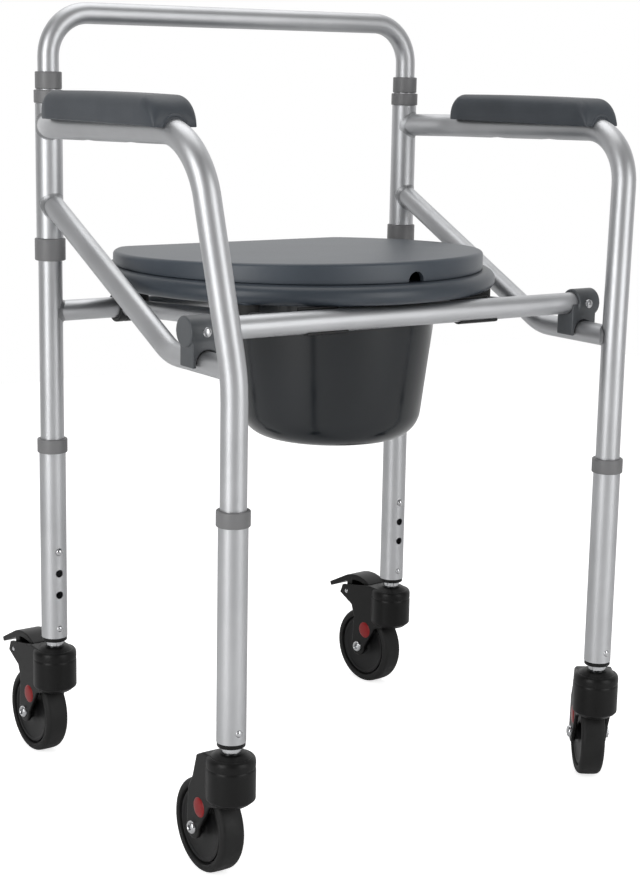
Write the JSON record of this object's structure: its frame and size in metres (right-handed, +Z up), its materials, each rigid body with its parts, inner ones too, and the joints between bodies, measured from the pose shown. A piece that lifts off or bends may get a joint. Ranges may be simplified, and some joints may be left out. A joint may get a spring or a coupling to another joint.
{
  "type": "commode chair",
  "caption": "Folding wheeled commode chair with aluminium tube frame, padded arms, lidded toilet seat and lift-out bucket.",
  "frame": {"origin": "on the floor, midway between the four leg axes", "axes": "+Z up, -Y to the open front of the chair, +X to the left-hand side of a person sitting in it"},
  "size_m": [0.5626, 0.4944, 0.815],
  "materials": {
    "anodised_aluminium": "satin anodised tube",
    "collar_plastic": "moulded nylon, fine texture",
    "leg_collar_plastic": "moulded nylon",
    "arm_pad_foam": "self-skinned polyurethane foam, satin",
    "bracket_plastic": "moulded nylon",
    "clamp_plastic": "moulded nylon",
    "foot_rubber": "moulded",
    "seat_fasteners": "bright zinc plate",
    "seat_plastic": "moulded polyethylene, satin",
    "lid_plastic": "moulded polyethylene, satin",
    "bucket_plastic": "moulded polypropylene, glossy",
    "button_steel": "polished",
    "stem_steel": "bright zinc plate",
    "axle_steel": "bright zinc plate",
    "caster_nylon": "moulded nylon, satin",
    "pedal_nylon": "moulded nylon, satin",
    "red_cap": "moulded",
    "hub_nylon": "moulded nylon",
    "tyre_rubber": "smooth grey-black rubber"
  },
  "bodies": {
    "rear_frame": {"rear_posts": "anodised_aluminium", "rear_crossbar": "anodised_aluminium", "backrest_tube": "anodised_aluminium", "backrest_collars": "collar_plastic", "pivot_collars": "collar_plastic"},
    "side_left": {"side_post_left": "anodised_aluminium", "arm_tube_left": "anodised_aluminium", "brace_tube_left": "anodised_aluminium", "arm_pad_left": "arm_pad_foam"},
    "side_right": {"side_post_right": "anodised_aluminium", "arm_tube_right": "anodised_aluminium", "brace_tube_right": "anodised_aluminium", "arm_pad_right": "arm_pad_foam"},
    "seat_frame": {"front_crossbar": "anodised_aluminium", "snap_brackets": "bracket_plastic", "seat_rails": "anodised_aluminium", "seat_clamps": "clamp_plastic", "seat_feet": "foot_rubber", "seat_hardware": "seat_fasteners", "seat_ring": "seat_plastic"},
    "lid": {"lid": "lid_plastic"},
    "bucket": {"bucket": "bucket_plastic"},
    "leg_rl": {"lower_leg_rl": "anodised_aluminium", "leg_fittings_rl": "leg_collar_plastic", "caster_stem_rl": "stem_steel"},
    "button_rl": {"snap_button_rl": "button_steel"},
    "caster_rl": {"caster_housing_rl": "caster_nylon", "caster_axle_rl": "axle_steel", "caster_caps_rl": "red_cap"},
    "wheel_rl": {"wheel_hub_rl": "hub_nylon", "wheel_tyre_rl": "tyre_rubber"},
    "pedal_rl": {"brake_pedal_rl": "pedal_nylon"},
    "leg_rr": {"lower_leg_rr": "anodised_aluminium", "leg_fittings_rr": "leg_collar_plastic", "caster_stem_rr": "stem_steel"},
    "button_rr": {"snap_button_rr": "button_steel"},
    "caster_rr": {"caster_housing_rr": "caster_nylon", "caster_axle_rr": "axle_steel", "caster_caps_rr": "red_cap"},
    "wheel_rr": {"wheel_hub_rr": "hub_nylon", "wheel_tyre_rr": "tyre_rubber"},
    "pedal_rr": {"brake_pedal_rr": "pedal_nylon"},
    "leg_fl": {"lower_leg_fl": "anodised_aluminium", "leg_fittings_fl": "leg_collar_plastic", "caster_stem_fl": "stem_steel"},
    "button_fl": {"snap_button_fl": "button_steel"},
    "caster_fl": {"caster_housing_fl": "caster_nylon", "caster_axle_fl": "axle_steel", "caster_caps_fl": "red_cap"},
    "wheel_fl": {"wheel_hub_fl": "hub_nylon", "wheel_tyre_fl": "tyre_rubber"},
    "leg_fr": {"lower_leg_fr": "anodised_aluminium", "leg_fittings_fr": "leg_collar_plastic", "caster_stem_fr": "stem_steel"},
    "button_fr": {"snap_button_fr": "button_steel"},
    "caster_fr": {"caster_housing_fr": "caster_nylon", "caster_axle_fr": "axle_steel", "caster_caps_fr": "red_cap"},
    "wheel_fr": {"wheel_hub_fr": "hub_nylon", "wheel_tyre_fr": "tyre_rubber"}
  },
  "joints": [
    {"name": "seat_frame_lift", "type": "hinge", "parent": "rear_frame", "child": "seat_frame", "pos_m": [0, 0.185, 0.497], "axis": [-1, 0, 0], "range_deg": [0, 74]},
    {"name": "side_frame_left_swing", "type": "hinge", "parent": "rear_frame", "child": "side_left", "pos_m": [-0.228, 0.185, 0.643], "axis": [0, 0, -1], "range_deg": [0, 15]},
    {"name": "side_frame_right_swing", "type": "hinge", "parent": "rear_frame", "child": "side_right", "pos_m": [0.228, 0.185, 0.643], "axis": [0, 0, 1], "range_deg": [0, 15]},
    {"name": "lid_hinge", "type": "hinge", "parent": "seat_frame", "child": "lid", "pos_m": [0, 0.204, 0.543], "axis": [1, 0, 0], "range_deg": [-77.3, 0]},
    {"name": "bucket_lift", "type": "slide", "parent": "seat_frame", "child": "bucket", "axis": [0, 0, 1], "range_m": [0, 0.1395]},
    {"name": "leg_slide_rl", "type": "slide", "parent": "rear_frame", "child": "leg_rl", "axis": [0, 0, 1], "range_m": [0, 0.048]},
    {"name": "button_press_rl", "type": "slide", "parent": "leg_rl", "child": "button_rl", "axis": [0, -1, 0], "range_m": [-0.0035, 0], "stiffness_N_per_m": 400},
    {"name": "caster_swivel_rl", "type": "hinge", "parent": "leg_rl", "child": "caster_rl", "pos_m": [-0.228, 0.185, 0.11], "axis": [0, 0, 1], "continuous": true},
    {"name": "wheel_spin_rl", "type": "hinge", "parent": "caster_rl", "child": "wheel_rl", "pos_m": [-0.22933, 0.22298, 0.046], "axis": [0.9994, 0.0349, 0], "continuous": true},
    {"name": "brake_pedal_rl", "type": "hinge", "parent": "caster_rl", "child": "pedal_rl", "pos_m": [-0.23016, 0.24696, 0.112], "axis": [-0.9994, -0.0349, 0], "range_deg": [0, 12]},
    {"name": "leg_slide_rr", "type": "slide", "parent": "rear_frame", "child": "leg_rr", "axis": [0, 0, 1], "range_m": [0, 0.048]},
    {"name": "button_press_rr", "type": "slide", "parent": "leg_rr", "child": "button_rr", "axis": [0, -1, 0], "range_m": [-0.0035, 0], "stiffness_N_per_m": 400},
    {"name": "caster_swivel_rr", "type": "hinge", "parent": "leg_rr", "child": "caster_rr", "pos_m": [0.228, 0.185, 0.11], "axis": [0, 0, 1], "continuous": true},
    {"name": "wheel_spin_rr", "type": "hinge", "parent": "caster_rr", "child": "wheel_rr", "pos_m": [0.22403, 0.22279, 0.046], "axis": [0.9945, 0.1045, 0], "continuous": true},
    {"name": "brake_pedal_rr", "type": "hinge", "parent": "caster_rr", "child": "pedal_rr", "pos_m": [0.22152, 0.24666, 0.112], "axis": [-0.9945, -0.1045, 0], "range_deg": [0, 12]},
    {"name": "leg_slide_fl", "type": "slide", "parent": "side_left", "child": "leg_fl", "axis": [0, 0, 1], "range_m": [0, 0.048]},
    {"name": "button_press_fl", "type": "slide", "parent": "leg_fl", "child": "button_fl", "axis": [0, 1, 0], "range_m": [-0.0035, 0], "stiffness_N_per_m": 400},
    {"name": "caster_swivel_fl", "type": "hinge", "parent": "leg_fl", "child": "caster_fl", "pos_m": [-0.228, -0.185, 0.11], "axis": [0, 0, 1], "continuous": true},
    {"name": "wheel_spin_fl", "type": "hinge", "parent": "caster_fl", "child": "wheel_fl", "pos_m": [-0.228, -0.147, 0.046], "axis": [1, 0, 0], "continuous": true},
    {"name": "leg_slide_fr", "type": "slide", "parent": "side_right", "child": "leg_fr", "axis": [0, 0, 1], "range_m": [0, 0.048]},
    {"name": "button_press_fr", "type": "slide", "parent": "leg_fr", "child": "button_fr", "axis": [0, 1, 0], "range_m": [-0.0035, 0], "stiffness_N_per_m": 400},
    {"name": "caster_swivel_fr", "type": "hinge", "parent": "leg_fr", "child": "caster_fr", "pos_m": [0.228, -0.185, 0.11], "axis": [0, 0, 1], "continuous": true},
    {"name": "wheel_spin_fr", "type": "hinge", "parent": "caster_fr", "child": "wheel_fr", "pos_m": [0.24925, -0.1535, 0.046], "axis": [0.829, -0.5592, 0], "continuous": true}
  ],
  "couplings": [
    {"joint": "side_frame_left_swing", "follows": "seat_frame_lift", "ratio": 0.2},
    {"joint": "side_frame_right_swing", "follows": "seat_frame_lift", "ratio": 0.2},
    {"joint": "bucket_lift", "follows": "lid_hinge", "m_per_rad": -0.103}
  ]
}
